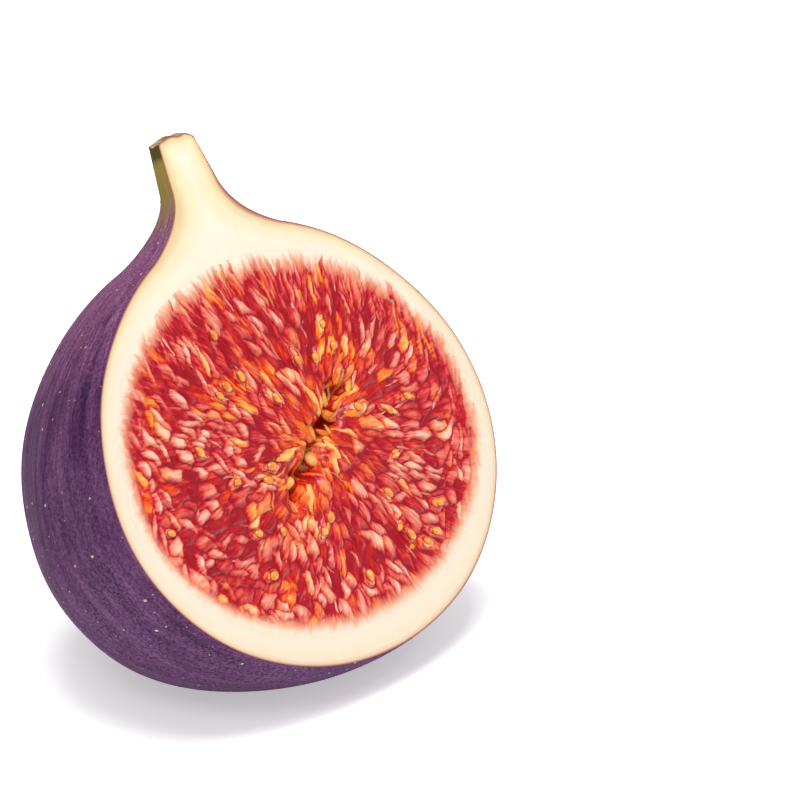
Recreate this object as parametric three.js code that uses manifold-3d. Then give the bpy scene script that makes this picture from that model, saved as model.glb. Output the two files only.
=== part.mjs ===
// Half of a fresh fig, cut lengthwise through its stem. It rests on its base, and the cut face
// leans back from upright. All sizes are in millimetres.
//
// The fig is worked out in its own axes: +Y runs from its base to its stem, +X runs across the
// cut face, and the cut face is the plane z = 0 with the fruit behind it. The finished mesh is
// turned into the part's frame: +Z up, the cut face towards -Y, the origin under the middle.
import * as THREE from 'three';
import { mergeVertices } from 'three/addons/utils/BufferGeometryUtils.js';
import Module from 'manifold-3d';

// Driving dimensions of the fruit
const WIDTH = 56; // across the widest place
const LENGTH = 53.5; // from the base to the cut end of the stem
const WIDEST = 20.5; // height of the widest place above the base
const NECK_HEIGHT = 42.8; // where the shoulder turns into the neck
const NECK_RADIUS = 9.6;
const STEM_HEIGHT = 48.5; // where the neck has narrowed to the stem
const STEM_RADIUS = 3.4;
const STEM_END_RADIUS = 2.6;

// How the back bulges behind the cut face
const BASE_DEPTH = 0.64; // depth over half-width at the base
const BODY_DEPTH = 1.04; // depth over half-width along the body
const DEPTH_RISE = 6.5; // height over which the first grows into the second
const BASE_SAG = 0.24; // how far the back hangs below the cut face at the base, per depth
const STEM_LIFT = 0.23; // how far the back rises towards the stem, per depth

// How it rests
const RECLINE = 30; // degrees that the cut face leans back
const REST_FLAT = 2.0; // how far its own weight has flattened it where it rests

// Fineness of the mesh
const TURNS = 56; // steps round the fruit
const STEPS = 9; // steps along each curve of the outline

const wasm = await Module();
wasm.setup();

function fruitOutline() {
  const radius = WIDTH / 2;
  const outline = new THREE.Path();
  outline.absellipse(0, WIDEST, radius, WIDEST, -Math.PI / 2, 0, false);
  outline.bezierCurveTo(
    radius, WIDEST + 11,
    NECK_RADIUS + 9, NECK_HEIGHT - 3.2,
    NECK_RADIUS, NECK_HEIGHT,
  );
  outline.quadraticCurveTo(NECK_RADIUS - 5.4, NECK_HEIGHT + 2.6, STEM_RADIUS, STEM_HEIGHT);
  outline.lineTo(STEM_END_RADIUS, LENGTH);
  outline.lineTo(0, LENGTH);
  const points = outline.getPoints(STEPS);
  points[0].set(0, 0);
  return points;
}

function depthRatio(y) {
  return BODY_DEPTH - (BODY_DEPTH - BASE_DEPTH) * Math.exp(-y / DEPTH_RISE);
}

function backSlope(y) {
  return THREE.MathUtils.lerp(BASE_SAG, -STEM_LIFT, y / LENGTH);
}

// The back is a little deeper than a turned shape, sags at the base and rises at the stem.
function shapeBack(geometry) {
  const place = geometry.attributes.position;
  for (let i = 0; i < place.count; i += 1) {
    const y = place.getY(i);
    const depth = Math.max(0, -place.getZ(i)) * depthRatio(y);
    if (depth > 0) {
      place.setY(i, y - backSlope(y) * depth);
      place.setZ(i, -depth);
    }
  }
}

function toSolid(geometry) {
  geometry.deleteAttribute('normal');
  geometry.deleteAttribute('uv');
  const merged = mergeVertices(geometry, 1e-4);
  const vertProperties = new Float32Array(merged.attributes.position.array);
  const triVerts = new Uint32Array(merged.index.array);
  return new wasm.Manifold(new wasm.Mesh({ numProp: 3, vertProperties, triVerts }));
}

function toGeometry(solid) {
  const mesh = solid.getMesh();
  const geometry = new THREE.BufferGeometry();
  geometry.setAttribute('position', new THREE.BufferAttribute(mesh.vertProperties, 3));
  geometry.setIndex(new THREE.BufferAttribute(mesh.triVerts, 1));
  geometry.computeVertexNormals();
  return geometry;
}

function wholeFruit() {
  const geometry = new THREE.LatheGeometry(fruitOutline(), TURNS, Math.PI / 2);
  shapeBack(geometry);
  return toSolid(geometry);
}

// Everything in front of the knife's path.
function frontBlock() {
  const block = new THREE.BoxGeometry(3 * WIDTH, 4 * LENGTH, 2 * WIDTH);
  block.translate(0, 0, WIDTH);
  return toSolid(block);
}

const turnToRest = new THREE.Matrix4().makeRotationX(THREE.MathUtils.degToRad(90 - RECLINE));

// Everything below the surface that the half has settled on.
function tableBlock(restingHalf) {
  const block = new THREE.BoxGeometry(3 * WIDTH, 3 * WIDTH, WIDTH);
  const lowest = restingHalf.boundingBox.min.z;
  block.translate(0, 0, lowest + REST_FLAT - WIDTH / 2);
  return toSolid(block);
}

function figHalf() {
  const half = toGeometry(wholeFruit().subtract(frontBlock()));
  half.applyMatrix4(turnToRest);
  half.computeBoundingBox();
  const settled = toGeometry(toSolid(half).subtract(tableBlock(half)));
  settled.computeBoundingBox();
  const box = settled.boundingBox;
  const middle = box.getCenter(new THREE.Vector3());
  settled.translate(-middle.x, -middle.y, -box.min.z);
  const skin = new THREE.MeshStandardMaterial({ color: 0x5b3a66, roughness: 0.55, metalness: 0 });
  const mesh = new THREE.Mesh(settled, skin);
  mesh.name = 'fig_half';
  return mesh;
}

const part = new THREE.Group();
part.name = 'fresh_fig_half';
part.add(figHalf());

export default part;
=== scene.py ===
import math

import bmesh
import bpy
import numpy as np
from mathutils import Matrix, Vector, noise


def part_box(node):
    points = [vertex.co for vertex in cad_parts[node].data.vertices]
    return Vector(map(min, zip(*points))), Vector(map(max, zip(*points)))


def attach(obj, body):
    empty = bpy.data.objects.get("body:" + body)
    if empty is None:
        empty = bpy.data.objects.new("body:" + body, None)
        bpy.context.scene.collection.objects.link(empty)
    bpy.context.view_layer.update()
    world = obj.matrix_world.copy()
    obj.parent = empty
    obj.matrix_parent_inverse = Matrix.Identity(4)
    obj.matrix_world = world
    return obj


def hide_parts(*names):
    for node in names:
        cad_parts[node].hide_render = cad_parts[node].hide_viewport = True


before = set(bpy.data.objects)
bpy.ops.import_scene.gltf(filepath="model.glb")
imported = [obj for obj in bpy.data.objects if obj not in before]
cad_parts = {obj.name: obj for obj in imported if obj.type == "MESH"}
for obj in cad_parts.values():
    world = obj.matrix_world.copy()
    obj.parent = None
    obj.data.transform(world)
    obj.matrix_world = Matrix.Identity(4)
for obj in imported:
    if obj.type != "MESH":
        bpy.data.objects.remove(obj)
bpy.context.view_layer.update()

# ------------------------------------------------------------
# Camera. It stands to the left of the way the cut face looks and a little above the table, so
# that it sees the cut face and the left flank. A long lens, as for a close study of fruit.
#
# Every piece below is worked out in the fig's own axes, in millimetres: +Y from the base to the
# stem, +X across the cut, +Z straight out of it. to_rest takes them to their place on the table.
# ------------------------------------------------------------
LENGTH = 53.5  # base to the cut end of the stem
MILLIMETRE = 0.001
RECLINE = math.radians(30)  # how far the cut face leans back
CAMERA_TURN = math.radians(-52.1)
CAMERA_RISE = math.radians(19.0)
CAMERA_DISTANCE = 0.418
LENS_MM = 194.5
FRAMED_RIGHT = 0.0101  # what the lens is centred on: this far to the right of the fruit's middle
FRAMED_ABOVE = 0.0018
MIDDLE_HEIGHT = 24.16  # the fruit's middle, up its own length

low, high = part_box("fig_half")
place = Matrix.Translation((0, low.y, high.z - LENGTH * MILLIMETRE * math.cos(RECLINE)))
to_rest = place @ Matrix.Rotation(math.pi / 2 - RECLINE, 4, "X") @ Matrix.Scale(MILLIMETRE, 4)


def way_to(turn, rise):
    """The way to something that stands round from the front by that turn, and up by that rise."""
    return Vector((math.sin(turn) * math.cos(rise), -math.cos(turn) * math.cos(rise), math.sin(rise)))


def put(name, data):
    """A new object in the scene that holds this mesh, camera or light."""
    thing = bpy.data.objects.new(name, data)
    bpy.context.scene.collection.objects.link(thing)
    return thing


to_camera = way_to(CAMERA_TURN, CAMERA_RISE)
rightwards = Vector((math.cos(CAMERA_TURN), math.sin(CAMERA_TURN), 0))
upwards = to_camera.cross(rightwards)
fruit_middle = to_rest @ Vector((0, MIDDLE_HEIGHT, 0))
eye = fruit_middle + to_camera * CAMERA_DISTANCE
aim = fruit_middle + rightwards * FRAMED_RIGHT + upwards * FRAMED_ABOVE

back = (eye - aim).normalized()
right = upwards.cross(back).normalized()
camera = put("camera", bpy.data.cameras.new("camera"))
facing = Matrix((right, back.cross(right), back)).transposed().to_4x4()
camera.matrix_world = Matrix.Translation(eye) @ facing
camera.data.lens = LENS_MM
camera.data.clip_start = 0.01
bpy.context.scene.camera = camera
bpy.context.scene.view_settings.view_transform = "Standard"

# ------------------------------------------------------------
# The half fruit itself: skin, cream rind, and the bed that the pulp sits in, grown as one piece.
# A ripe dark fig, halved with a knife from stem to base, flattened a little where it rests.
# ------------------------------------------------------------
WIDTH = 56
WIDEST = 20.5  # the height of its widest place
NECK_HEIGHT = 42.8
NECK_RADIUS = 9.6
STEM_HEIGHT = 48.5
STEM_RADIUS = 3.4
STEM_END_RADIUS = 2.6
BASE_DEPTH = 0.64  # depth over half-width at the base
BODY_DEPTH = 1.04  # depth over half-width along the body
DEPTH_RISE = 6.5  # height over which the first grows into the second
BASE_SAG = 0.24  # the back bulges down at the base by this share of its depth
STEM_LIFT = 0.23  # and up at the stem by this share
ROWS = 216  # steps from base to stem
COLUMNS = 166  # steps across the cut, and round the back
RIBS = 13  # shallow ribs round the back
RIB_HEIGHT = 0.07
LUMP_HEIGHT = 0.30
FOLD_HEIGHT = 0.28  # the folds round the neck
STEM_RAGGED = 0.30  # how unevenly the stem's end was snipped
STEM_ROUNDED = 0.50  # how far its rim is rounded off
CAP_STEPS = 6  # steps down the stem's end

PULP_MIDDLE = (0.3, 21.0)
PULP_HALF_WIDTH = 25.4
PULP_BELOW = 17.3  # from its middle down to the rind at the base
PULP_ABOVE = 19.2  # and up to the rind under the stem
PULP_BED = 0.52  # how far the bed lies below the cut
PULP_SLOPE = 3.2  # the width over which the rind falls away to it
UNDERCUT = 0.3  # the rind under the pulp is this much lower still
PULP_MARGIN = 0.8  # how far outside the pulp's edge that begins
FLOW_MIDDLE = (2.8, 21.4)  # the florets all point here
HOLLOW_FROM = (-3.4, 17.6)  # the narrow hollow in the middle of the pulp
HOLLOW_TO = (8.2, 25.2)
HOLLOW_DEPTH = 3.2
HOLLOW_WIDTH = 1.0


def curve_points(corners, steps=120):
    """Points along the Bezier curve with these corners."""
    t = np.linspace(0, 1, steps)[:, None]
    corners = [np.array(c, float) for c in corners]
    rows = [c[None, :].repeat(steps, 0) for c in corners]
    while len(rows) > 1:
        rows = [a * (1 - t) + b * t for a, b in zip(rows, rows[1:])]
    return rows[0]


def fruit_outline():
    """Half-width and height from the base to the end of the stem, in even steps along the edge."""
    radius = WIDTH / 2
    turn = np.linspace(-np.pi / 2, 0, 240)
    base = np.stack([radius * np.cos(turn), WIDEST * (1 + np.sin(turn))], 1)
    shoulder = curve_points([
        (radius, WIDEST),
        (radius, WIDEST + 11),
        (NECK_RADIUS + 9, NECK_HEIGHT - 3.2),
        (NECK_RADIUS, NECK_HEIGHT),
    ])
    neck = curve_points([
        (NECK_RADIUS, NECK_HEIGHT),
        (NECK_RADIUS - 5.4, NECK_HEIGHT + 2.6),
        (STEM_RADIUS, STEM_HEIGHT),
    ])
    stem = curve_points([(STEM_RADIUS, STEM_HEIGHT), (STEM_END_RADIUS, LENGTH)], 20)
    path = np.concatenate([base, shoulder[1:], neck[1:], stem[1:]])
    path[0] = (0, 0)
    along = np.concatenate([[0], np.cumsum(np.linalg.norm(np.diff(path, axis=0), axis=1))])
    even = np.linspace(0, along[-1], ROWS + 1)
    return np.stack([np.interp(even, along, path[:, k]) for k in (0, 1)], 1)


def flat_points(x, y):
    return np.stack([x, y, 0 * x], 1)


def noise_at(points, size, seed=0.0):
    """Smooth noise from -1 to 1 at each point, with features of about that size in millimetres."""
    shift = Vector((seed, -seed, 2 * seed))
    return np.array([noise.noise(Vector(p) / size + shift) for p in points])


def with_relief(points):
    """Shallow ribs that run from the stem to the base, soft lumps, and folds round the neck."""
    x, y, z = points.T
    round_back = np.arctan2(-z, x)
    wander = noise_at(points, 16, 3.1)
    ribs = np.cos(2 * RIBS * round_back + 3.5 * wander) * np.clip((y - 4) / 20, 0, 1)
    lumps = noise_at(points, 13, 7.7)
    folds = noise_at(flat_points(4.5 * round_back, y / 14), 1, 5.5) * np.exp(-(((y - 44) / 5) ** 2))
    rise = RIB_HEIGHT * ribs + LUMP_HEIGHT * lumps + FOLD_HEIGHT * folds
    reach = np.maximum(np.hypot(x, z), 0.5)
    factor = 1 + rise * np.clip(reach / 6, 0, 1) / reach
    return np.stack([x * factor, y, z * factor], 1)


def snipped_end(points):
    """How far the stem's end strays along it: ragged, and rounded off at its rim."""
    x, y, z = points.T
    aside = np.hypot(x, z) / STEM_END_RADIUS
    ragged = STEM_RAGGED * noise_at(np.stack([x, 0 * y, z], 1), 1.1, 2.2)
    ragged = ragged - STEM_ROUNDED * np.clip(aside, 0, 1.2) ** 4 + 0.45
    return ragged * np.clip((y - STEM_HEIGHT) / (LENGTH - STEM_HEIGHT), 0, 1) ** 3


def pulp_reach(x, y):
    """How far inside the pulp's edge a point of the cut face lies; negative out in the rind."""
    dx, dy = x - PULP_MIDDLE[0], y - PULP_MIDDLE[1]
    height = np.where(dy < 0, PULP_BELOW, PULP_ABOVE)
    share = np.maximum(np.hypot(dx / PULP_HALF_WIDTH, dy / height), 1e-6)
    return np.hypot(dx, dy) * (1 / share - 1)


def hollow_shape(x, y):
    """1 along the middle of the hollow, falling to 0 beside it."""
    start, end = np.array(HOLLOW_FROM), np.array(HOLLOW_TO)
    length = np.linalg.norm(end - start)
    line = (end - start) / length
    along = (x - start[0]) * line[0] + (y - start[1]) * line[1]
    aside = (y - start[1]) * line[0] - (x - start[0]) * line[1]
    past = np.maximum(np.abs(along - length / 2) - length / 2, 0)
    wobble = 0.5 * np.sin(along * 1.1)
    return np.exp(-(((aside - wobble) / HOLLOW_WIDTH) ** 2) - (past / 1.5) ** 2)


def face_height(x, y):
    """Height of the cut face under the florets: uneven rind, the sunken bed, and the hollow."""
    inside = np.clip((pulp_reach(x, y) + PULP_MARGIN) / PULP_SLOPE, 0, 1)
    inside = inside * inside * (3 - 2 * inside)
    mottle = 0.05 * noise_at(flat_points(x, y), 2.4, 1.9)
    return mottle - PULP_BED * inside - HOLLOW_DEPTH * hollow_shape(x, y)


def grids():
    """Rows of points over the back, and over the cut face, both from the base to the stem."""
    outline = fruit_outline()
    r, y = outline[:, :1], outline[:, 1:]
    turn = np.linspace(0, np.pi, COLUMNS + 1)[None, :]
    ratio = BODY_DEPTH - (BODY_DEPTH - BASE_DEPTH) * np.exp(-y / DEPTH_RISE)
    slope = BASE_SAG - (BASE_SAG + STEM_LIFT) * y / LENGTH
    depth = ratio * r * np.sin(turn)
    depth[:, [0, -1]] = 0
    x = r * np.cos(turn)
    back = np.stack([x, y - slope * depth, -depth], 2)
    face = np.stack([x, y + 0 * x, 0 * x], 2)
    return outline, back, face


def sheet_faces(rows, columns, number, flip):
    """Quads between neighbouring rows, with number(row, column) naming each point."""
    faces = []
    for i in range(rows):
        for j in range(columns):
            ring = [number(i, j), number(i, j + 1), number(i + 1, j + 1), number(i + 1, j)]
            ring = [p for k, p in enumerate(ring) if p != ring[k - 1]]
            faces.append(ring if flip else ring[::-1])
    return faces


def edge_distance(points, outline):
    """Shortest way from each point to the skin, in the plane of the cut."""
    x, y = np.abs(points[:, 0]), points[:, 1]
    found = np.full(len(x), 1e9)
    for (ax, ay), (bx, by) in zip(outline, outline[1:]):
        dx, dy = bx - ax, by - ay
        t = np.clip(((x - ax) * dx + (y - ay) * dy) / (dx * dx + dy * dy), 0, 1)
        found = np.minimum(found, np.hypot(x - ax - t * dx, y - ay - t * dy))
    return found


def rim_width(y):
    """How many times wider the ochre under the skin is at this height; it is widest round the neck."""
    return 1 + 1.6 * np.exp(-(((y - 46.5) / 4.5) ** 2))


def line_width(x, y):
    """How many times wider the skin's own cut edge is; on one side of the neck it was cut aslant."""
    return 1 + 2.4 * np.exp(-(((y - 46.0) / 3.2) ** 2)) * (x > 0)


def store(mesh, name, values):
    """Keeps three numbers at each point of the mesh, for its material to read."""
    layer = mesh.attributes.new(name, "FLOAT_VECTOR", "POINT")
    layer.data.foreach_set("vector", np.asarray(values, np.float32).ravel())


def settle(mesh):
    """Takes a finished mesh to its place on the table, and flattens what would sink into it."""
    mesh.transform(to_rest)
    place = np.zeros(len(mesh.vertices) * 3)
    mesh.vertices.foreach_get("co", place)
    place = place.reshape(-1, 3)
    place[:, 2] = np.maximum(place[:, 2], 0)
    mesh.vertices.foreach_set("co", place.ravel())
    mesh.update()


def show(name, mesh):
    """Puts a finished piece in the scene, riding with the fruit."""
    piece = put(name, mesh)
    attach(piece, "root")
    return piece


def half_fruit():
    """The closed mesh of the skin over the back, the cut face, and a cap on the stem's end."""
    outline, back, face = grids()
    across = COLUMNS + 1
    per_sheet = (ROWS + 1) * across

    def back_point(i, j):
        return 0 if i == 0 else i * across + j

    def face_point(i, j):
        if i == 0 or j in (0, COLUMNS):
            return back_point(i, j)
        return per_sheet + i * across + j

    def cap_point(i, j):
        if i == 0 or j in (0, COLUMNS):
            return back_point(ROWS, j)
        if i == CAP_STEPS:
            return face_point(ROWS, j)
        return 2 * per_sheet + (i - 1) * across + j

    shares = np.linspace(0, 1, CAP_STEPS + 1)[1:-1, None, None]
    cap = back[-1] * (1 - shares) + face[-1] * shares
    points = np.concatenate([back.reshape(-1, 3), face.reshape(-1, 3), cap.reshape(-1, 3)])
    end_way = LENGTH - points[:, 1]
    points[:, 1] += snipped_end(points)

    on_cut = np.zeros(len(points), bool)
    on_cut[per_sheet:2 * per_sheet] = True
    edge_way = edge_distance(points, outline)
    skin_way = np.minimum(edge_way / rim_width(points[:, 1]), end_way)
    line_way = np.minimum(edge_way / line_width(points[:, 0], points[:, 1]), end_way)
    x, y, z = points.T
    skin_place = flat_points(np.arctan2(-z, x), y)
    shaped = with_relief(points)
    bed = face_height(x, y) * np.clip(skin_way / 0.5, 0, 1)
    bed -= UNDERCUT * np.clip(pulp_reach(x, y) + 0.2, 0, 1)
    shaped[on_cut, 2] += bed[on_cut]

    faces = sheet_faces(ROWS, COLUMNS, back_point, flip=True)
    skin_count = len(faces)
    faces += sheet_faces(ROWS, COLUMNS, face_point, flip=False)
    flesh_count = len(faces)
    faces += sheet_faces(CAP_STEPS, COLUMNS, cap_point, flip=True)

    mesh = bpy.data.meshes.new("fig_skin_and_rind")
    mesh.from_pydata(shaped.tolist(), [], faces)
    store(mesh, "cut_mm", flat_points(skin_way, line_way))
    store(mesh, "skin_place", skin_place)
    kinds = np.full(len(faces), 2, np.int32)
    kinds[:flesh_count] = 1
    kinds[:skin_count] = 0
    mesh.polygons.foreach_set("material_index", kinds)
    mesh.polygons.foreach_set("use_smooth", np.ones(len(faces), bool))
    spare = np.ones(len(points), bool)
    spare[[number for face in faces for number in face]] = False
    whole = bmesh.new()
    whole.from_mesh(mesh)
    bmesh.ops.delete(whole, geom=[v for v in whole.verts if spare[v.index]], context="VERTS")
    whole.to_mesh(mesh)
    whole.free()
    return mesh


def add(tree, kind, inputs=None, **settings):
    """Adds a node, with its settings made and its inputs filled or linked."""
    node = tree.nodes.new(kind)
    for name, value in settings.items():
        setattr(node, name, value)
    for name, value in (inputs or {}).items():
        if isinstance(value, bpy.types.NodeSocket):
            tree.links.new(value, node.inputs[name])
        else:
            node.inputs[name].default_value = value
    return node


def maths(tree, operation, a, b=0.0, c=0.0, clamp=False):
    node = add(tree, "ShaderNodeMath", {0: a, 1: b, 2: c}, operation=operation, use_clamp=clamp)
    return node.outputs[0]


def times(tree, a, b):
    return maths(tree, "MULTIPLY", a, b)


def scaled(tree, a, b, c, clamp=False):
    """a times b, plus c."""
    return maths(tree, "MULTIPLY_ADD", a, b, c, clamp)


def ramp(tree, factor, stops):
    """Colours or greys at set places along a factor, joined smoothly."""
    node = add(tree, "ShaderNodeValToRGB", {"Fac": factor})
    elements = node.color_ramp.elements
    while len(elements) < len(stops):
        elements.new(0.5)
    for element, (position, colour) in zip(elements, stops):
        element.position = position
        element.color = (*colour, 1) if isinstance(colour, tuple) else (colour, colour, colour, 1)
    return node.outputs["Color"]


def mix(tree, factor, a, b):
    node = add(tree, "ShaderNodeMix", {0: factor, 6: a, 7: b}, data_type="RGBA")
    return node.outputs[2]


def kept(tree, name, output="Fac"):
    """What is kept at each point under that name."""
    return add(tree, "ShaderNodeAttribute", attribute_name=name).outputs[output]


def parts(tree, vector):
    return add(tree, "ShaderNodeSeparateXYZ", {0: vector}).outputs


def stored(tree, name):
    """The three numbers kept at each point under that name."""
    return parts(tree, kept(tree, name, "Vector"))


def grain(tree, vector, scale, detail=2.0, roughness=0.5):
    node = add(
        tree, "ShaderNodeTexNoise",
        {"Vector": vector, "Scale": scale, "Detail": detail, "Roughness": roughness},
    )
    return node.outputs["Fac"]


def vector_of(tree, x, y, z=0.0):
    return add(tree, "ShaderNodeCombineXYZ", {0: x, 1: y, 2: z}).outputs[0]


def new_material(name, **constants):
    """A material whose even values are set straight on its shader, and its object coordinates."""
    material = bpy.data.materials.new(name)
    material.use_nodes = True
    tree = material.node_tree
    shader = tree.nodes["Principled BSDF"]
    for socket, value in constants.items():
        shader.inputs[socket.replace("_", " ")].default_value = value
    here = add(tree, "ShaderNodeTexCoord").outputs["Object"]
    return material, tree, shader, here


def finish_material(tree, shader, colour, height=None, strength=0.3, distance=0.0002, roughness=None):
    tree.links.new(colour, shader.inputs["Base Color"])
    if roughness is not None:
        tree.links.new(roughness, shader.inputs["Roughness"])
    if height is not None:
        bump = add(tree, "ShaderNodeBump", {"Height": height, "Strength": strength, "Distance": distance})
        tree.links.new(bump.outputs[0], shader.inputs["Normal"])


def skin_material():
    """Dark violet skin: streaks along the fruit, a grainy waxy bloom, olive green on the stem, and
    the brown, dried edge of the stem's end."""
    material, tree, shader, here = new_material("fig skin", Specular_IOR_Level=0.015)
    round_back, height = stored(tree, "skin_place")[:2]

    def drawn_along(round_scale, along_scale):
        """Coordinates that stretch a pattern from the stem to the base."""
        return vector_of(tree, times(tree, round_back, round_scale), times(tree, height, along_scale))

    streaks = grain(tree, drawn_along(9.0, 0.05), 1.6, 5.0, 0.62)
    fine_streaks = grain(tree, drawn_along(46.0, 0.30), 1.4, 3.0, 0.6)
    bloom = grain(tree, here, 110.0, 6.0, 0.74)
    speckle = grain(tree, here, 3400.0, 2.0, 0.7)
    shade = scaled(tree, streaks, 0.50, times(tree, fine_streaks, 0.18))
    shade = scaled(tree, speckle, 0.32, shade)
    violet = ramp(tree, shade, (
        (0.36, (0.026, 0.008, 0.034)),
        (0.45, (0.062, 0.019, 0.068)),
        (0.54, (0.105, 0.036, 0.106)),
        (0.66, (0.190, 0.085, 0.180)),
    ))
    # Thin dark lines that run along the fruit, mixed into the violet.
    dark_line_place = drawn_along(3.0, 0.025)
    dark_line = maths(tree, "ABSOLUTE", maths(tree, "SUBTRACT", grain(tree, dark_line_place, 1.0, 1.0), 0.5))
    dark_line_share = times(tree, ramp(tree, dark_line, ((0.0, 1.0), (0.022, 0.0))), 0.42)
    violet = mix(tree, dark_line_share, violet, (0.030, 0.008, 0.034, 1))
    waxy = scaled(tree, bloom, 2.2, scaled(tree, height, -0.016, -0.50), clamp=True)
    wax_share = times(tree, waxy, scaled(tree, speckle, 3.4, -1.25, clamp=True))
    bloomed = mix(tree, times(tree, wax_share, 0.8), violet, (0.225, 0.130, 0.242, 1))
    # Up the neck the skin is its own rosy mauve, painted paler than that as a painted highlight on the
    # neck.
    rosy = scaled(tree, maths(tree, "SUBTRACT", fine_streaks, 0.5), 8.0, height)
    neck = times(tree, rosy, 1 / LENGTH)
    rose_and_painted_sheen = ramp(tree, scaled(tree, speckle, 0.45, times(tree, fine_streaks, 0.55)), (
        (0.38, (0.110, 0.026, 0.075)),
        (0.50, (0.210, 0.068, 0.155)),
        (0.62, (0.360, 0.175, 0.300)),
    ))
    colour = mix(tree, ramp(tree, neck, ((0.64, 0.0), (0.80, 0.80), (0.88, 0.90))), bloomed, rose_and_painted_sheen)
    colour = mix(tree, ramp(tree, neck, ((0.84, 0.0), (0.92, 1.0))), colour, (0.260, 0.190, 0.045, 1))
    rim = times(tree, scaled(tree, bloom, 2.0, height), 1 / LENGTH)
    colour = mix(tree, ramp(tree, rim, ((0.985, 0.0), (1.0, 1.0))), colour, (0.075, 0.060, 0.018, 1))
    dull = ramp(tree, bloom, ((0.3, 0.50), (0.7, 0.70)))
    finish_material(tree, shader, colour, speckle, 0.22, 0.0002, dull)
    return material


def rind_colour(tree, skin_way, here):
    """Ochre under the skin that pales quickly to cream; the cream is yellower up by the stem and
    pinker down round the pulp."""
    cloud = grain(tree, here, 420.0, 3.0, 0.5)
    wander = times(tree, maths(tree, "SUBTRACT", cloud, 0.5), 0.25)
    depth = times(tree, maths(tree, "ADD", skin_way, wander), 0.5)
    upper = ramp(tree, depth, (
        (0.08, (0.760, 0.560, 0.260)),
        (0.36, (0.850, 0.760, 0.470)),
        (0.90, (0.865, 0.830, 0.670)),
    ))
    lower = ramp(tree, depth, (
        (0.08, (0.700, 0.520, 0.330)),
        (0.34, (0.810, 0.690, 0.510)),
        (0.90, (0.825, 0.715, 0.565)),
    ))
    height = parts(tree, here)[2]
    share = scaled(tree, height, 40.0, scaled(tree, cloud, 0.6, -1.35), clamp=True)
    return mix(tree, share, lower, upper)


def flesh_material():
    """Moist cream rind."""
    material, tree, shader, here = new_material(
        "fig flesh", Subsurface_Weight=0.25, Subsurface_Scale=0.001, Subsurface_Radius=(1.0, 0.55, 0.3),
        Roughness=0.42, Coat_Weight=0.15, Coat_Roughness=0.25,
    )
    cloud = grain(tree, here, 420.0, 3.0, 0.5)
    skin_way, line_way = stored(tree, "cut_mm")[:2]
    rind = rind_colour(tree, skin_way, here)
    brown = ramp(tree, line_way, ((0.02, (0.200, 0.050, 0.055)), (0.10, (0.500, 0.200, 0.130))))
    colour = mix(tree, ramp(tree, line_way, ((0.10, 1.0), (0.24, 0.0))), rind, brown)
    finish_material(tree, shader, colour, cloud, 0.15, 0.0002)
    return material


def stem_end_material():
    """The dried end of the stem, where it was snipped from the branch."""
    material, tree, shader, here = new_material("dry stem end", Roughness=0.8)
    patches = grain(tree, here, 900.0, 4.0, 0.6)
    colour = ramp(tree, patches, (
        (0.35, (0.120, 0.060, 0.020)),
        (0.50, (0.360, 0.200, 0.080)),
        (0.65, (0.560, 0.420, 0.200)),
    ))
    finish_material(tree, shader, colour, patches, 0.4, 0.0003)
    return material


fruit_mesh = half_fruit()
for material in (skin_material(), flesh_material(), stem_end_material()):
    fruit_mesh.materials.append(material)
skin_ground = fruit_mesh.copy()
settle(fruit_mesh)
fruit = show("fig_skin_and_rind", fruit_mesh)
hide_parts("fig_half")

# ------------------------------------------------------------
# Lenticels. The pale, corky pores of the skin, a few tenths of a millimetre across. Each is a low
# bead that grows out of the skin, stretched a little, and few of them are large.
# ------------------------------------------------------------
LENTICEL_INPUTS = {
    "Spacing": 1.0, "Density": 0.09, "Smallest": 0.12, "Largest": 0.32, "Height": 0.08, "Seed": 7,
}


def new_tree(name, inputs):
    """An empty geometry tree that takes a ground, a template, its material, and these sizes."""
    tree = bpy.data.node_groups.new(name, "GeometryNodeTree")
    for label in ("Geometry", "Object", "Material"):
        shown = "Template" if label == "Object" else label
        tree.interface.new_socket(shown, in_out="INPUT", socket_type="NodeSocket" + label)
    for label, value in inputs.items():
        kind = "NodeSocketInt" if isinstance(value, int) else "NodeSocketFloat"
        tree.interface.new_socket(label, in_out="INPUT", socket_type=kind).default_value = value
    tree.interface.new_socket("Geometry", in_out="OUTPUT", socket_type="NodeSocketGeometry")
    return tree, add(tree, "NodeGroupInput").outputs


def random_value(tree, given, lowest, highest, offset):
    """A number for each point, different for each offset."""
    seed = maths(tree, "ADD", given["Seed"], float(offset))
    node = add(tree, "FunctionNodeRandomValue", {2: lowest, 3: highest, "Seed": seed}, data_type="FLOAT")
    return node.outputs[1]


def planted(tree, given, points, rotation, scale):
    """A real copy of the template at each point, turned and sized."""
    template = add(tree, "GeometryNodeObjectInfo", {"Object": given["Template"]})
    placed = add(tree, "GeometryNodeInstanceOnPoints", {
        "Points": points, "Instance": template.outputs["Geometry"], "Rotation": rotation, "Scale": scale,
    })
    return add(tree, "GeometryNodeRealizeInstances", {0: placed.outputs[0]}).outputs[0]


def finish_tree(tree, given, geometry):
    smooth = add(tree, "GeometryNodeSetShadeSmooth", {"Geometry": geometry})
    painted = add(tree, "GeometryNodeSetMaterial", {
        "Geometry": smooth.outputs[0], "Material": given["Material"],
    })
    add(tree, "NodeGroupOutput", {"Geometry": painted.outputs[0]})
    return tree


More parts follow.
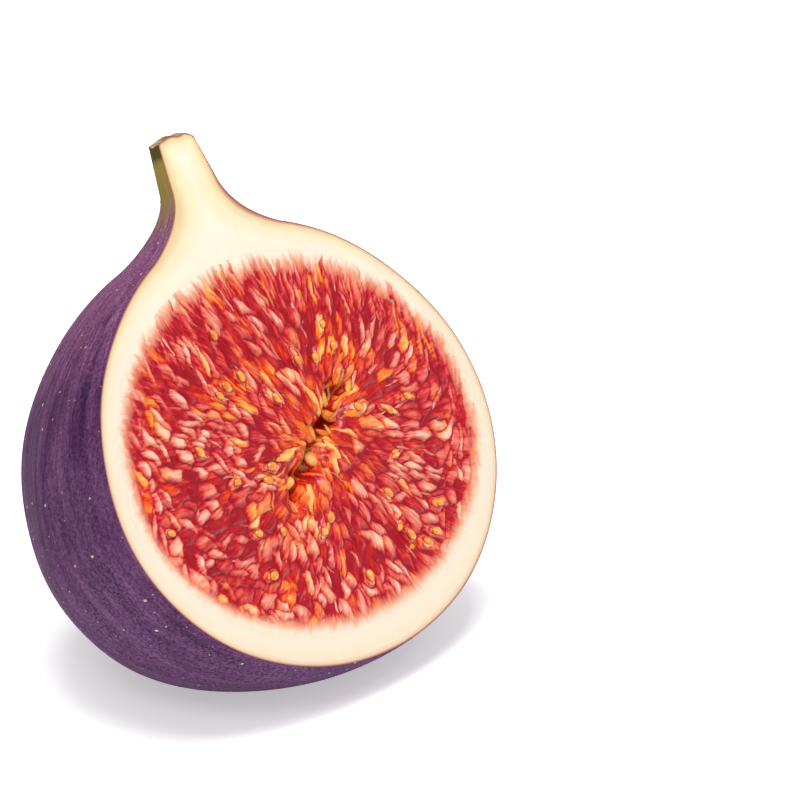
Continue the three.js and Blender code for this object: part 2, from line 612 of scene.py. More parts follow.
def grown(name, tree, ground, values):
    """The plain mesh that the tree makes on that ground with those values."""
    ground_piece = put(name, ground)
    modifier = ground_piece.modifiers.new("grow", "NODES")
    modifier.node_group = tree
    sockets = {s.name: s.identifier for s in tree.interface.items_tree if s.in_out == "INPUT"}
    for label, value in values.items():
        modifier[sockets[label]] = value
    evaluated = ground_piece.evaluated_get(bpy.context.evaluated_depsgraph_get())
    mesh = bpy.data.meshes.new_from_object(evaluated)
    mesh.name = name
    mesh.materials.clear()
    mesh.materials.append(values["Material"])
    mesh.polygons.foreach_set("material_index", np.zeros(len(mesh.polygons), np.int32))
    bpy.data.objects.remove(ground_piece)
    return mesh


def lenticel_tree():
    """Sows the template over the skin, each one standing on it and stretched a little."""
    tree, given = new_tree("lenticels", LENTICEL_INPUTS)
    on_skin = add(tree, "FunctionNodeCompare", {
        2: add(tree, "GeometryNodeInputMaterialIndex").outputs[0], 3: 0,
    }, data_type="INT", operation="EQUAL").outputs[0]
    sown = add(tree, "GeometryNodeDistributePointsOnFaces", {
        "Mesh": given["Geometry"], "Selection": on_skin, "Distance Min": given["Spacing"],
        "Density Max": given["Density"], "Seed": given["Seed"],
    }, distribute_method="POISSON")
    luck = maths(tree, "POWER", random_value(tree, given, 0.0, 1.0, 5), 2.5)
    range_of_sizes = maths(tree, "SUBTRACT", given["Largest"], given["Smallest"])
    across = scaled(tree, luck, range_of_sizes, given["Smallest"])
    stretched = times(tree, across, random_value(tree, given, 0.9, 1.8, 9))
    size = vector_of(tree, across, stretched, given["Height"])
    pores = planted(tree, given, sown.outputs["Points"], sown.outputs["Rotation"], size)
    return finish_tree(tree, given, pores)


def template_shape(name, points, faces):
    """An object that a tree sows copies of."""
    mesh = bpy.data.meshes.new(name)
    mesh.from_pydata(points, [], faces)
    return put(name, mesh)


def bead(name, sides):
    """A low, round bead of unit size."""
    points = [(0, 0, 0.5)]
    for height, width in ((0.35, 0.35), (0.0, 0.5), (-0.5, 0.3)):
        for side in range(sides):
            turn = 2 * math.pi * side / sides
            points.append((width * math.cos(turn), width * math.sin(turn), height))
    points.append((0, 0, -0.5))
    faces = []
    for side in range(sides):
        after = (side + 1) % sides
        faces.append((0, 1 + side, 1 + after))
        for ring in (1, 1 + sides):
            faces.append((ring + side, ring + sides + side, ring + sides + after, ring + after))
        faces.append((len(points) - 1, 1 + 2 * sides + after, 1 + 2 * sides + side))
    return template_shape(name, points, faces)


def lenticel_material():
    """Pale pinkish cork."""
    material, tree, shader, here = new_material("lenticel", Roughness=0.7, Specular_IOR_Level=0.05)
    patches = grain(tree, here, 700.0, 2.0, 0.5)
    colour = ramp(tree, patches, (
        (0.35, (0.300, 0.110, 0.160)),
        (0.50, (0.480, 0.290, 0.330)),
        (0.65, (0.640, 0.480, 0.440)),
    ))
    finish_material(tree, shader, colour, patches, 0.2, 0.0001)
    return material


pore = bead("pore", 8)
pore_mesh = grown("lenticels", lenticel_tree(), skin_ground, {
    "Template": pore, "Material": lenticel_material(), **LENTICEL_INPUTS,
})
settle(pore_mesh)
show("lenticels", pore_mesh)
bpy.data.objects.remove(pore)

# ------------------------------------------------------------
# Pulp. Hundreds of tiny florets grow inward from the rind, packed side by side: fine threads next
# to the rind, juicy sacs further in, all pointing to the hollow. The knife has cut them level, and
# their juice holds them together in one wet mass.
# ------------------------------------------------------------
PULP_STEPS = 296  # steps across the pulp's surface, either way
PULP_OVERLAP = 1.05  # the surface runs on this far over the rind, as a share of the pulp's size
PULP_THICKNESS = 1.6
POINTS_AT_ONCE = 3000
FLORETS_TRIED = 30000
FLORET_WIDTH = 1.22
FLORET_LENGTH = 2.55
FLORET_ROOM = 0.40  # how near two may stand, as a share of their sizes
THREAD_ZONE = 4.0  # the threads lie this close to the pulp's edge
THREAD_WIDTH = 0.56
THREAD_LENGTH = 2.6
SEEDED_SHARE = 0.16
DULL_SHARE = 0.60  # the rest are pale
RAY_FINENESS = 46  # how finely the flesh is streaked round the hollow
RAY_STRETCH = 0.45  # and how much less finely along each streak


def nearest_in_hollow(x, y):
    """The nearest point of the hollow, and the point of it that a floret here grows towards."""
    start, end = np.array(HOLLOW_FROM), np.array(HOLLOW_TO)
    line = end - start
    t = ((x - start[0]) * line[0] + (y - start[1]) * line[1]) / (line @ line)
    nearest = start[:, None] + line[:, None] * np.clip(t, 0, 1)
    return nearest, start[:, None] + line[:, None] * np.clip(t, 0.3, 0.75)


def pulp_flow(x, y):
    """The way that florets point at each place, how far off the hollow is, and how drawn out they are:
    1 up and to the right, where they are long and thin, 0 down and to the left, where they are round."""
    beside, target = nearest_in_hollow(x, y)
    towards = target - np.stack([x, y])
    towards /= np.maximum(np.linalg.norm(towards, axis=0), 0.01)
    hollow_way = np.hypot(beside[0] - x, beside[1] - y)
    lengthwise = 0.85 * np.clip(np.abs(x) / 20, 0, 1) ** 1.3 * np.clip((9 - pulp_reach(x, y)) / 7, 0, 1)
    towards = towards * (1 - lengthwise) + np.array([[0.0], [-1.0]]) * lengthwise
    bend = 0.40 * noise_at(flat_points(x, y), 6.5, 8.8)
    towards = np.stack([
        towards[0] * np.cos(bend) - towards[1] * np.sin(bend),
        towards[0] * np.sin(bend) + towards[1] * np.cos(bend),
    ])
    towards /= np.maximum(np.linalg.norm(towards, axis=0), 0.01)
    drawn_out = np.clip(0.5 + 0.03 * (x * 0.5 + (y - PULP_MIDDLE[1])), 0, 1)
    return towards, hollow_way, drawn_out


def thread_share(x, y):
    """1 towards the stem, where long threads reach into the rind, and 0 where the pulp ends neatly."""
    return np.clip(0.35 + 0.05 * (y - PULP_MIDDLE[1]) + 0.012 * x, 0, 1)


def plant_florets():
    """Florets, thrown one by one where there is room for them. Each has a place, a way it points, a
    length and width, a tone from dark juice to pale sac, a warmth, a reach and perhaps a seed."""
    chance = np.random.default_rng(12)
    spread = np.array([PULP_HALF_WIDTH, (PULP_BELOW + PULP_ABOVE) / 2]) * 1.12
    middle = np.array([PULP_MIDDLE[0], PULP_MIDDLE[1] + (PULP_ABOVE - PULP_BELOW) / 2])
    x, y = (chance.uniform(-1, 1, (FLORETS_TRIED, 2)) * spread + middle).T
    depth = pulp_reach(x, y)
    x, y, depth = (a[depth > -1.6] for a in (x, y, depth))
    towards, hollow_way, drawn_out = pulp_flow(x, y)
    threads = np.clip((1.6 + (THREAD_ZONE - 1.6) * thread_share(x, y) - depth) / 2.0, 0, 1)
    close = np.exp(-((hollow_way / 3.0) ** 2))
    width = (FLORET_WIDTH - 0.22 * drawn_out - 0.32 * close) * (1 - threads) + THREAD_WIDTH * threads
    length = (FLORET_LENGTH + 0.95 * drawn_out + 0.6 * close) * (1 - threads)
    length = length + (THREAD_LENGTH + THREAD_LENGTH * drawn_out) * threads
    width *= chance.uniform(0.58, 1.36, len(x))
    length *= chance.uniform(0.75, 1.35, len(x))
    disorder = chance.normal(0, 1, len(x)) * (0.50 - 0.30 * drawn_out) * (1 - 0.6 * threads)
    turn = np.arctan2(towards[1], towards[0]) + disorder
    rooted = []
    for k in range(len(x)):
        dx, dy = x[rooted] - x[k], y[rooted] - y[k]
        along = (dx * math.cos(turn[k]) + dy * math.sin(turn[k])) / (length[k] + length[rooted])
        across = (dy * math.cos(turn[k]) - dx * math.sin(turn[k])) / (width[k] + width[rooted])
        if not rooted or (along * along + across * across).min() > FLORET_ROOM ** 2:
            rooted.append(k)
    x, y, turn, length, width, depth, hollow_way, threads = (
        a[rooted] for a in (x, y, turn, length, width, depth, hollow_way, threads))
    pale = chance.uniform(0, 1, len(x)) > DULL_SHARE
    tone = np.where(pale, chance.uniform(0.66, 1.0, len(x)), chance.uniform(0.05, 0.60, len(x)))
    tone = tone * (1 - threads) + chance.uniform(0.32, 0.66, len(x)) * threads
    warmth = np.clip((chance.uniform(0, 1, len(x)) - 0.86) * 9, 0, 0.9)
    warmth = np.clip(warmth + np.exp(-((hollow_way / 5.0) ** 2)) * chance.uniform(0.45, 1.45, len(x)), 0, 1)
    seeded = chance.uniform(0, 1, len(x)) < SEEDED_SHARE
    seeded &= (depth > 2.6) & (width > 0.85) & (hollow_way > 2.2)
    tone[seeded] = chance.uniform(0.70, 0.95, seeded.sum())
    warmth[seeded] = 0.25
    spots = flat_points(x, y)
    tone = np.clip(tone + 0.20 * noise_at(spots, 4.5, 3.3), 0.03, 1.05)
    warmth = np.clip(warmth + 0.9 * np.clip(noise_at(spots, 4.0, 6.1) - 0.22, 0, 1) * 2, 0, 1)
    reach = chance.normal(0, 0.32, len(x)) + 0.6 * noise_at(spots, 3.5, 7.2)
    return dict(
        x=x, y=y, turn=turn, length=length, width=width,
        tone=tone, warmth=warmth, reach=reach, seeded=seeded,
    )


def held_by(x, y, florets):
    """Which floret holds each point, and how deep inside it the point lies, from 0 to 1."""
    holder, inside = np.zeros(len(x), int), np.zeros(len(x))
    for start in range(0, len(x), POINTS_AT_ONCE):
        part = slice(start, start + POINTS_AT_ONCE)
        near = np.flatnonzero((florets["y"] > y[part].min() - 4) & (florets["y"] < y[part].max() + 4))
        dx = (x[part, None] - florets["x"][near]).astype(np.float32)
        dy = (y[part, None] - florets["y"][near]).astype(np.float32)
        c = np.cos(florets["turn"][near]).astype(np.float32)
        s = np.sin(florets["turn"][near]).astype(np.float32)
        along = (dx * c + dy * s) / florets["length"][near].astype(np.float32)
        across = (dy * c - dx * s) / florets["width"][near].astype(np.float32)
        away = np.sqrt(along * along + across * across)
        two = np.partition(away, 1, axis=1)[:, :2]
        holder[part] = near[away.argmin(axis=1)]
        inside[part] = (two[:, 1] - two[:, 0]) / (two[:, 1] + two[:, 0])
    return holder, inside


def round_disc(steps):
    """A square grid bent into a disc of radius 1, with even spacing all over."""
    side = np.linspace(-1, 1, steps + 1)
    u, v = np.meshgrid(side, side)
    wide = np.abs(u) > np.abs(v)
    radius = np.where(wide, u, v)
    turn = np.where(wide, v / np.where(wide, u, 1), 2 - u / np.where((v == 0) | wide, 1, v)) * math.pi / 4
    turn[(u == 0) & (v == 0)] = 0
    return radius * np.cos(turn), radius * np.sin(turn)


def pulp_mass():
    """The pulp as a closed lens, its wet, lumpy cut surface above and a plain underside, and how
    high that surface lies at each floret."""
    across, up = round_disc(PULP_STEPS)
    share = np.hypot(across, up).ravel() * PULP_OVERLAP
    x = (PULP_MIDDLE[0] + PULP_OVERLAP * PULP_HALF_WIDTH * across).ravel()
    y = (PULP_MIDDLE[1] + PULP_OVERLAP * np.where(up < 0, PULP_BELOW, PULP_ABOVE) * up).ravel()
    flat = flat_points(x, y)
    astray_x = 0.48 * noise_at(flat, 1.9, 4.4) + 0.14 * noise_at(flat, 0.6, 2.4)
    astray_y = 0.48 * noise_at(flat, 1.9, 9.2) + 0.14 * noise_at(flat, 0.6, 6.4)
    holder, inside = held_by(x + astray_x, y + astray_y, florets)
    depth = pulp_reach(x, y)
    settled = np.clip((depth - 0.2) / 2.6, 0, 1)
    plump = (0.18 + 0.30 * florets["tone"][holder]) * np.minimum(florets["width"][holder], 1.3) * settled
    dome = 1 - (1 - inside) ** 2.2
    rim = np.clip((PULP_OVERLAP - share) / 0.045, 0, 1)
    z = face_height(x, y) * (1 - 0.25 * np.clip(depth / 2, 0, 1)) - 0.02 + 0.07 * rim + plump * dome
    z = np.where(z > 0, 0.45 * z, z)

    number = np.arange(len(x)).reshape(PULP_STEPS + 1, -1)
    edge = np.concatenate([number[0, :-1], number[:-1, -1], number[-1, :0:-1], number[:0:-1, 0]])
    under_x = x[edge] * 0.9 + 0.1 * PULP_MIDDLE[0]
    under_y = y[edge] * 0.9 + 0.1 * PULP_MIDDLE[1]
    under = np.stack([under_x, under_y, 0 * edge - PULP_THICKNESS], 1)
    lowest = (*PULP_MIDDLE, -PULP_THICKNESS - HOLLOW_DEPTH)
    points = np.concatenate([np.stack([x, y, z], 1), under, [lowest]])
    a, b, c, d = number[:-1, :-1], number[:-1, 1:], number[1:, 1:], number[1:, :-1]
    faces = np.stack([a, b, c, d], 2).reshape(-1, 4).tolist()
    below = len(x) + np.arange(len(edge))
    for k in range(len(edge)):
        after = (k + 1) % len(edge)
        faces.append([edge[after], edge[k], below[k], below[after]])
        faces.append([below[after], below[k], len(points) - 1])
    mesh = bpy.data.meshes.new("pulp")
    mesh.from_pydata(points.tolist(), [], [[int(p) for p in face] for face in faces])

    def padded(*columns):
        rows = np.stack(columns, 1)
        return np.concatenate([rows, rows[edge], rows[:1]])

    flow = np.stack([x, y], 1) - FLOW_MIDDLE
    flow_way = np.maximum(np.linalg.norm(flow, axis=1), 0.01)
    skin_way = edge_distance(flat, fruit_outline()) / rim_width(y)
    thinning = 1.0 - 0.15 * thread_share(x, y)
    reach = florets["reach"][holder] * (0.2 + 0.8 * thread_share(x, y))
    store(mesh, "cut_mm", padded(skin_way, (depth + reach) * thinning, 1.0 * florets["seeded"][holder]))
    store(mesh, "floret", padded(inside, florets["tone"][holder], florets["warmth"][holder]))
    ray_x, ray_y = (RAY_FINENESS * flow[:, k] / flow_way for k in (0, 1))
    store(mesh, "rays", padded(ray_x, ray_y, RAY_STRETCH * flow_way))
    mesh.polygons.foreach_set("use_smooth", np.ones(len(faces), bool))
    middles = zip(florets["x"], florets["y"])
    nearest = np.array([np.argmin((x - fx) ** 2 + (y - fy) ** 2) for fx, fy in middles])
    return mesh, z[nearest]


WET = dict(
    Roughness=0.34, Specular_IOR_Level=0.18, Subsurface_Weight=0.2, Subsurface_Scale=0.0006,
    Subsurface_Radius=(1.0, 0.3, 0.2), Coat_Weight=0.35, Coat_Roughness=0.10,
)
FLORET_REDS = (
    (0.02, (0.330, 0.000, 0.008)),
    (0.15, (0.445, 0.001, 0.012)),
    (0.30, (0.580, 0.022, 0.028)),
    (0.46, (0.680, 0.090, 0.068)),
    (0.62, (0.750, 0.180, 0.130)),
    (0.80, (0.790, 0.310, 0.225)),
    (0.97, (0.820, 0.510, 0.395)),
)
FLORET_WARMS = (
    (0.02, (0.480, 0.002, 0.004)),
    (0.25, (0.740, 0.045, 0.006)),
    (0.46, (0.840, 0.190, 0.014)),
    (0.70, (0.890, 0.360, 0.030)),
    (0.98, (0.900, 0.560, 0.200)),
)
PEACH = (0.860, 0.400, 0.240, 1)


def pulp_material():
    """Wet translucent flesh. Each floret is crimson round its edge and its own tone within; streaks
    run the way it grows; next to the rind the florets pale to peach and then to cream."""
    material, tree, shader, here = new_material("pulp flesh", **WET)
    skin_way, pulp_way, seeded = stored(tree, "cut_mm")
    inside, own_tone, own_warmth = stored(tree, "floret")
    rays = kept(tree, "rays", "Vector")
    streaks = grain(tree, rays, 1.0, 4.0, 0.62)
    patches = grain(tree, here, 520.0, 3.0, 0.6)
    fibres = add(tree, "ShaderNodeTexVoronoi", {"Vector": rays, "Scale": 0.5}, feature="DISTANCE_TO_EDGE")
    veins = ramp(tree, fibres.outputs[0], ((0.0, 1.0), (0.13, 0.0)))
    uneven = scaled(tree, streaks, 0.80, scaled(tree, patches, 0.62, -0.68))
    within = ramp(tree, scaled(tree, uneven, 0.4, inside), ((0.0, 0.0), (0.20, 0.55), (0.62, 1.0)))
    fade = scaled(tree, maths(tree, "SUBTRACT", streaks, 0.5), 1.5, pulp_way)
    fade = scaled(tree, fade, 0.25, 0.25)
    near_rind = ramp(tree, fade, ((0.30, 1.0), (0.75, 0.0)))
    tone = scaled(tree, own_tone, within, uneven)
    tone = scaled(tree, near_rind, 0.10, scaled(tree, veins, -0.16, tone), clamp=True)
    ring = times(tree, ramp(tree, inside, ((0.24, 0.0), (0.33, 1.0), (0.44, 0.0))), seeded)
    tone = scaled(tree, ring, -0.35, tone, clamp=True)
    halo = times(tree, ramp(tree, inside, ((0.44, 0.0), (0.62, 0.8))), seeded)
    warmth = maths(tree, "ADD", own_warmth, scaled(tree, patches, 2.6, -1.45), clamp=True)
    warmth = maths(tree, "ADD", warmth, halo, clamp=True)
    flesh = mix(tree, warmth, ramp(tree, tone, FLORET_REDS), ramp(tree, tone, FLORET_WARMS))
    cream = rind_colour(tree, skin_way, here)
    edge = mix(tree, ramp(tree, fade, ((0.10, 0.0), (0.38, 1.0))), cream, PEACH)
    colour = mix(tree, ramp(tree, fade, ((0.22, 0.0), (0.34, 0.30), (0.56, 1.0))), edge, flesh)
    finish_material(tree, shader, colour, uneven, 0.35, 0.0002)
    return material


florets = plant_florets()
pulp_mesh, floret_heights = pulp_mass()
pulp_mesh.materials.append(pulp_material())
settle(pulp_mesh)
show("pulp", pulp_mesh)

# ------------------------------------------------------------
# Strands. Some florets were cut along their length, and lie loose on the rest, thin and curly, of
# the same wet flesh. Their juice holds them down.
# ------------------------------------------------------------
REGION_RINGS = 60
REGION_SPOKES = 180
THREAD_SIDES = 5
SAC_SIDES = 8


def spindle(name, sides, rings, fullest, blunt):
    """A floret of unit size that lies along Y, fullest at that share of its length. Its crown is
    1 on its back and 0 down its sides."""
    power = math.log(0.5) / math.log(fullest)
    points, crown = [(0, -0.5, 0)], [0.0]
    for k in range(1, rings):
        share = k / rings
        width = math.sin(math.pi * share ** power) ** blunt
        for side in range(sides):
            turn = math.pi / 2 + 2 * math.pi * side / sides
            points.append((0.5 * width * math.cos(turn), share - 0.5, 0.5 * width * math.sin(turn)))
            crown.append(max(math.sin(turn), 0) * width ** 0.5)
    points.append((0, 0.5, 0))
    crown.append(0.0)
    last = len(points) - 1
    faces = []
    for side in range(sides):
        after = (side + 1) % sides
        faces.append((0, 1 + side, 1 + after))
        faces.append((last, last - sides + after, last - sides + side))
        for k in range(rings - 2):
            ring = 1 + k * sides
            faces.append((ring + side, ring + sides + side, ring + sides + after, ring + after))
    template = template_shape(name, points, faces)
    template.data.attributes.new("crown", "FLOAT", "POINT").data.foreach_set("value", crown)
    return template


def pulp_region():
    """The sheet that loose florets lie on, with the way each would point and where it lies."""
    shares = np.linspace(0, 1.0, REGION_RINGS + 1)[:, None]
    turns = np.linspace(0, 2 * np.pi, REGION_SPOKES, endpoint=False)[None, :]
    height = np.where(np.sin(turns) < 0, PULP_BELOW, PULP_ABOVE)
    edge_x = PULP_MIDDLE[0] + PULP_HALF_WIDTH * np.cos(turns)
    edge_y = PULP_MIDDLE[1] + height * np.sin(turns)
    x = (FLOW_MIDDLE[0] + shares * (edge_x - FLOW_MIDDLE[0])).ravel()
    y = (FLOW_MIDDLE[1] + shares * (edge_y - FLOW_MIDDLE[1])).ravel()
    towards, hollow_way, drawn_out = pulp_flow(x, y)
    faces = []
    for i in range(REGION_RINGS):
        for j in range(REGION_SPOKES):
            a, b = i * REGION_SPOKES + j, i * REGION_SPOKES + (j + 1) % REGION_SPOKES
            faces.append((a, a + REGION_SPOKES, b + REGION_SPOKES, b))
    mesh = bpy.data.meshes.new("pulp region")
    mesh.from_pydata(np.stack([x, y, face_height(x, y) * 0.75], 1).tolist(), [], faces)
    store(mesh, "towards", flat_points(*towards))
    store(mesh, "lie", np.stack([np.repeat(shares, REGION_SPOKES), hollow_way, drawn_out], 1))
    return mesh


# What the tree takes, and what each is unless a piece sets it.
FLORET_INPUTS = {
    "Spacing": 1.0, "Keep": 1.0, "To Share": 1.0, "From Hollow": 0.0, "To Hollow": 60.0,
    "Length": 3.0, "Width": 0.6, "Thickness": 0.4, "Spread": 0.3, "Shorter Below": 0.3,
    "Twist": 0.2, "Tilt": 0.0, "Lift": 0.0, "Ripple": 0.4, "Darkest": 0.0, "Palest": 1.0, "Seed": 1,
}


def kept_value(tree, name):
    """The three numbers kept at each point of the ground under that name."""
    node = add(tree, "GeometryNodeInputNamedAttribute", {"Name": name}, data_type="FLOAT_VECTOR")
    return node.outputs["Attribute"]


def keep_value(tree, geometry, name, value, kind="FLOAT"):
    """The same geometry, with that value kept at each point for its material."""
    node = add(tree, "GeometryNodeStoreNamedAttribute", {
        "Geometry": geometry, "Name": name, "Value": value,
    }, data_type=kind, domain="POINT")
    return node.outputs[0]


def vectors(tree, operation, a, b=None):
    """b is a vector to add, subtract or multiply by, or the factor to scale by."""
    inputs = {0: a}
    if b is not None:
        inputs["Scale" if operation == "SCALE" else 1] = b
    node = add(tree, "ShaderNodeVectorMath", inputs, operation=operation)
    return node.outputs["Value" if operation == "LENGTH" else "Vector"]


def floret_tree():
    """Sows a template over the pulp's sheet, turned towards the hollow, and ripples the whole."""
    tree, given = new_tree("florets", FLORET_INPUTS)

    def between(value, start, end, soft):
        """1 between start and end, fading over the soft width outside them."""
        rise = maths(tree, "DIVIDE", maths(tree, "SUBTRACT", value, start), soft)
        fall = maths(tree, "DIVIDE", maths(tree, "SUBTRACT", end, value), soft)
        rise = maths(tree, "ADD", rise, 1.0, clamp=True)
        fall = maths(tree, "ADD", fall, 1.0, clamp=True)
        return times(tree, rise, fall)

    def chance(lowest, highest, offset):
        return random_value(tree, given, lowest, highest, offset)

    share, hollow_way, drawn_out = parts(tree, kept_value(tree, "lie"))
    in_ring = between(share, 0.0, given["To Share"], 0.06)
    in_band = between(hollow_way, given["From Hollow"], given["To Hollow"], 1.2)
    keep = times(tree, times(tree, in_ring, in_band), given["Keep"])
    closeness = maths(tree, "DIVIDE", 1.4, times(tree, given["Spacing"], given["Spacing"]))
    sown = add(tree, "GeometryNodeDistributePointsOnFaces", {
        "Mesh": given["Geometry"], "Distance Min": given["Spacing"], "Density Max": closeness,
        "Density Factor": keep, "Seed": given["Seed"],
    }, distribute_method="POISSON")
    tone = chance(given["Darkest"], given["Palest"], 11)
    spots = keep_value(tree, sown.outputs["Points"], "tone", tone)
    spots = keep_value(tree, spots, "hollow_mm", hollow_way)

    way = parts(tree, kept_value(tree, "towards"))
    heading = maths(tree, "SUBTRACT", maths(tree, "ARCTAN2", way[1], way[0]), math.pi / 2)
    disorder = maths(tree, "SUBTRACT", 1.9, drawn_out)
    twist = times(tree, times(tree, chance(-1.0, 1.0, 23), disorder), given["Twist"])
    turned = add(tree, "FunctionNodeEulerToRotation", {
        0: vector_of(tree, given["Tilt"], 0.0, maths(tree, "ADD", heading, twist)),
    }).outputs[0]

    longer, wider = (scaled(tree, chance(-1.0, 1.0, offset), given["Spread"], 1.0) for offset in (37, 41))
    shortened = times(tree, maths(tree, "SUBTRACT", 1.0, drawn_out), given["Shorter Below"])
    length = times(tree, times(tree, given["Length"], maths(tree, "SUBTRACT", 1.0, shortened)), longer)
    size = vector_of(tree, times(tree, given["Width"], wider), length, given["Thickness"])
    whole = planted(tree, given, spots, turned, size)

    here = add(tree, "GeometryNodeInputPosition").outputs[0]
    ripples = []
    for fineness, detail, reach in ((0.28, 1.0, 4.5), (0.95, 0.0, 1.6)):
        wave = add(tree, "ShaderNodeTexNoise", {"Vector": here, "Scale": fineness, "Detail": detail})
        centred = vectors(tree, "SUBTRACT", wave.outputs["Color"], (0.5, 0.5, 0.5))
        ripples.append(vectors(tree, "SCALE", centred, times(tree, given["Ripple"], reach)))
    level = vectors(tree, "MULTIPLY", vectors(tree, "ADD", *ripples), (1.0, 1.0, 0.35))
    raised = vectors(tree, "ADD", level, vector_of(tree, 0.0, 0.0, given["Lift"]))
    rippled = add(tree, "GeometryNodeSetPosition", {"Geometry": whole, "Offset": raised})

    off_middle = vectors(tree, "SUBTRACT", here, (*FLOW_MIDDLE, 0))
    flat_way = vectors(tree, "MULTIPLY", off_middle, (1, 1, 0))
    outwards = vectors(tree, "SCALE", vectors(tree, "NORMALIZE", flat_way), float(RAY_FINENESS))
    along = times(tree, vectors(tree, "LENGTH", flat_way), RAY_STRETCH)
    rays = vectors(tree, "ADD", outwards, vector_of(tree, 0.0, 0.0, along))
    streaked = keep_value(tree, rippled.outputs[0], "rays", rays, "FLOAT_VECTOR")
    return finish_tree(tree, given, streaked)


def floret_material(name, reds, warms, margin, **constants):
    """Wet translucent flesh: a floret's own tone on its back, streaked along the way it grows,
    crimson down its sides, and orange towards the hollow."""
    material, tree, shader, here = new_material(name, **constants)
    streaks = grain(tree, kept(tree, "rays", "Vector"), 1.0, 3.0, 0.6)
    patches = grain(tree, here, 420.0, 3.0, 0.6)
    uneven = maths(tree, "SUBTRACT", scaled(tree, streaks, 0.75, times(tree, patches, 0.45)), 0.6)
    tone = maths(tree, "ADD", kept(tree, "tone"), uneven, clamp=True)
    nearness = scaled(tree, kept(tree, "hollow_mm"), -0.115, 0.85)
    warmth = maths(tree, "ADD", nearness, scaled(tree, patches, 3.4, -1.95), clamp=True)
    flesh = mix(tree, warmth, ramp(tree, tone, reds), ramp(tree, tone, warms))
    on_back = scaled(tree, uneven, 0.8, kept(tree, "crown"))
    inner = ramp(tree, on_back, ((0.10, 0.0), (0.50, 0.75), (0.95, 1.0)))
    finish_material(tree, shader, mix(tree, inner, (*margin, 1), flesh), streaks, 0.3, 0.0002)
    return material


CRIMSON = (0.360, 0.000, 0.016)
floret_flesh = floret_material("floret flesh", FLORET_REDS, FLORET_WARMS, CRIMSON, **WET)
region = pulp_region()
tree = floret_tree()
thread = spindle("thread", THREAD_SIDES, 10, 0.5, 0.7)
sac = spindle("sac", SAC_SIDES, 9, 0.66, 0.50)


def pulp_piece(name, slot, **values):
    """One piece of loose florets on the pulp, with the tree's inputs set by name."""
    values = {key.replace("_", " "): value for key, value in values.items()}
    mesh = grown(name, tree, region.copy(), values)
    settle(mesh)
    return show(name, mesh)


pulp_piece(
    "pulp_strands", "pulp", Template=thread, Material=floret_flesh, Spacing=1.9, Keep=0.6, To_Share=0.88,
    From_Hollow=1.2, Length=3.6, Width=0.40, Thickness=0.40, Spread=0.35, Shorter_Below=0.5, Twist=0.30,
    Lift=0.03, Ripple=0.30, Darkest=0.45, Palest=0.85, Seed=3,
)

# ------------------------------------------------------------
# Seeds. Golden achenes a little over a millimetre long, hard and shiny. Each grew in its own pale
# sac, and lies along it where the knife opened it.
# ------------------------------------------------------------
SEED_TONES_LIT_AND_SHADED = (
    (0.05, (0.460, 0.050, 0.006)),
    (0.38, (0.700, 0.170, 0.010)),
    (0.70, (0.810, 0.290, 0.020)),
    (0.95, (0.880, 0.470, 0.090)),
)
SEED_INPUTS = {"Length": 1.30, "Width": 0.92, "Thickness": 0.62, "Spread": 0.2, "Seed": 34}
SEED_SUNK = 0.02  # how far each lies below its floret's top


def seed_tree():
    """Lays the template on each point, turned the way that the point's floret grows."""
    tree, given = new_tree("seeds", SEED_INPUTS)
    rotation = add(tree, "FunctionNodeEulerToRotation", {0: kept_value(tree, "turn")}).outputs[0]
    smallest = maths(tree, "SUBTRACT", 1.0, given["Spread"])
    largest = maths(tree, "ADD", 1.0, given["Spread"])
    size = add(tree, "FunctionNodeRandomValue", {
        2: smallest, 3: largest, "Seed": given["Seed"],
    }, data_type="FLOAT").outputs[1]
    full_size = vector_of(tree, given["Width"], given["Length"], given["Thickness"])
    scale = vectors(tree, "SCALE", full_size, size)
    return finish_tree(tree, given, planted(tree, given, given["Geometry"], rotation, scale))


def seed_material():
    """Hard, shiny, golden seed coat, painted yellower on top as a painted highlight and browner down its
    sides as painted shade.
    """
    material, tree, shader, here = new_material(
        "seed coat", Roughness=0.25, Subsurface_Weight=0.2, Subsurface_Scale=0.0004,
        Subsurface_Radius=(1.0, 0.6, 0.2), Coat_Weight=0.7, Coat_Roughness=0.05,
    )
    crown = kept(tree, "crown")
    patches = grain(tree, here, 1500.0, 2.0, 0.5)
    # The seed's golden colour is painted yellower on its top as a painted highlight, and browner down its
    # sides as painted shade.
    tone = scaled(tree, crown, 0.85, scaled(tree, patches, 1.4, -0.72))
    finish_material(tree, shader, ramp(tree, tone, SEED_TONES_LIT_AND_SHADED), patches, 0.15, 0.0001)
    return material


seeded = florets["seeded"]
seed_places = np.stack([florets["x"][seeded], florets["y"][seeded], floret_heights[seeded] - SEED_SUNK], 1)
seed_ground = bpy.data.meshes.new("seed places")
seed_ground.from_pydata(seed_places.tolist(), [], [])
level = 0 * seed_places[:, 0]
store(seed_ground, "turn", np.stack([level, level, florets["turn"][seeded] - math.pi / 2], 1))
seed = spindle("seed", SAC_SIDES, 7, 0.52, 0.55)
seed_mesh = grown("seeds", seed_tree(), seed_ground, {
    "Template": seed, "Material": seed_material(), **SEED_INPUTS,
})
settle(seed_mesh)
show("seeds", seed_mesh)

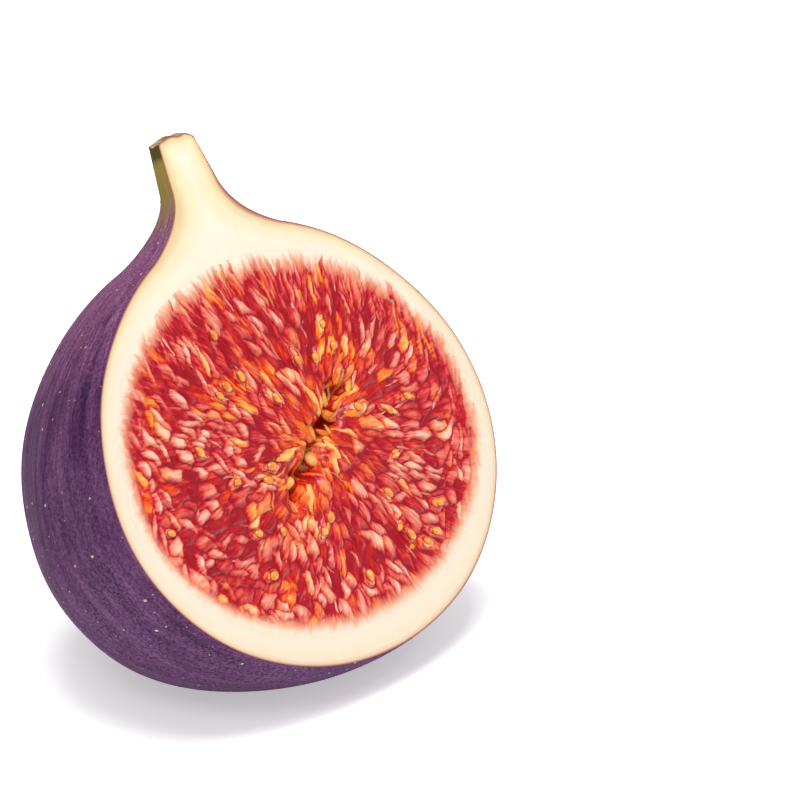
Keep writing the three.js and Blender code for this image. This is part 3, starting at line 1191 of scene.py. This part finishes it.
# ------------------------------------------------------------
# Petals round the hollow. The florets' open tips are soft orange flesh, and crowd round the
# hollow's mouth, where they lean in over it.
# ------------------------------------------------------------
petal_flesh = floret_material("petal flesh", FLORET_WARMS, FLORET_WARMS, (0.520, 0.030, 0.008), **WET)
pulp_piece(
    "hollow_petals", "pulp", Template=sac, Material=petal_flesh, Spacing=1.5, From_Hollow=1.3,
    To_Hollow=2.2, Length=3.6, Width=1.05, Thickness=0.8, Spread=0.30, Shorter_Below=0.1, Twist=0.25,
    Tilt=-0.10, Lift=0.0, Ripple=0.35, Darkest=0.20, Palest=0.95, Seed=55,
)
for template in (thread, sac, seed):
    bpy.data.objects.remove(template)

# ------------------------------------------------------------
# Table top and soft studio light. A plain pale table, lit from above by one large soft box, with
# two small ones in front for the wet flesh.
# ------------------------------------------------------------
TABLE_REACH = 3.0  # in metres, from its middle to each side
TABLE_WHITE = 0.92
TABLE_GLOW = 0.42  # it glows a little, so that it stays white under the fruit
ROOM_LIGHT = 0.42
far = TABLE_REACH
table_mesh = bpy.data.meshes.new("table")
table_mesh.from_pydata([(-far, -far, 0), (far, -far, 0), (far, far, 0), (-far, far, 0)], [], [(0, 1, 2, 3)])
table = put("table", table_mesh)
table_mesh.materials.append(new_material(
    "pale table", Roughness=0.9, Base_Color=(TABLE_WHITE, TABLE_WHITE, TABLE_WHITE, 1),
    Emission_Color=(1, 1, 1, 1), Emission_Strength=TABLE_GLOW,
)[0])

world = bpy.data.worlds.new("studio")
world.use_nodes = True
sky = world.node_tree.nodes["Background"].inputs
sky["Color"].default_value = (1, 1, 1, 1)
sky["Strength"].default_value = ROOM_LIGHT
bpy.context.scene.world = world


def soft_box(name, turn, rise, distance, size, power):
    """A square light, in metres and watts, that looks at the fruit from that direction."""
    light = put(name, bpy.data.lights.new(name, "AREA"))
    way = way_to(math.radians(turn), math.radians(rise))
    light.location = fruit_middle + way * distance
    light.rotation_euler = way.to_track_quat("Z", "Y").to_euler()
    light.data.size = size
    light.data.energy = power


soft_box("overhead light", -60, 80, 3.0, 1.4, 73)
soft_box("front light", -70, 45, 0.8, 0.22, 0.8)
soft_box("glint light", 35, 52, 0.7, 0.10, 0.25)
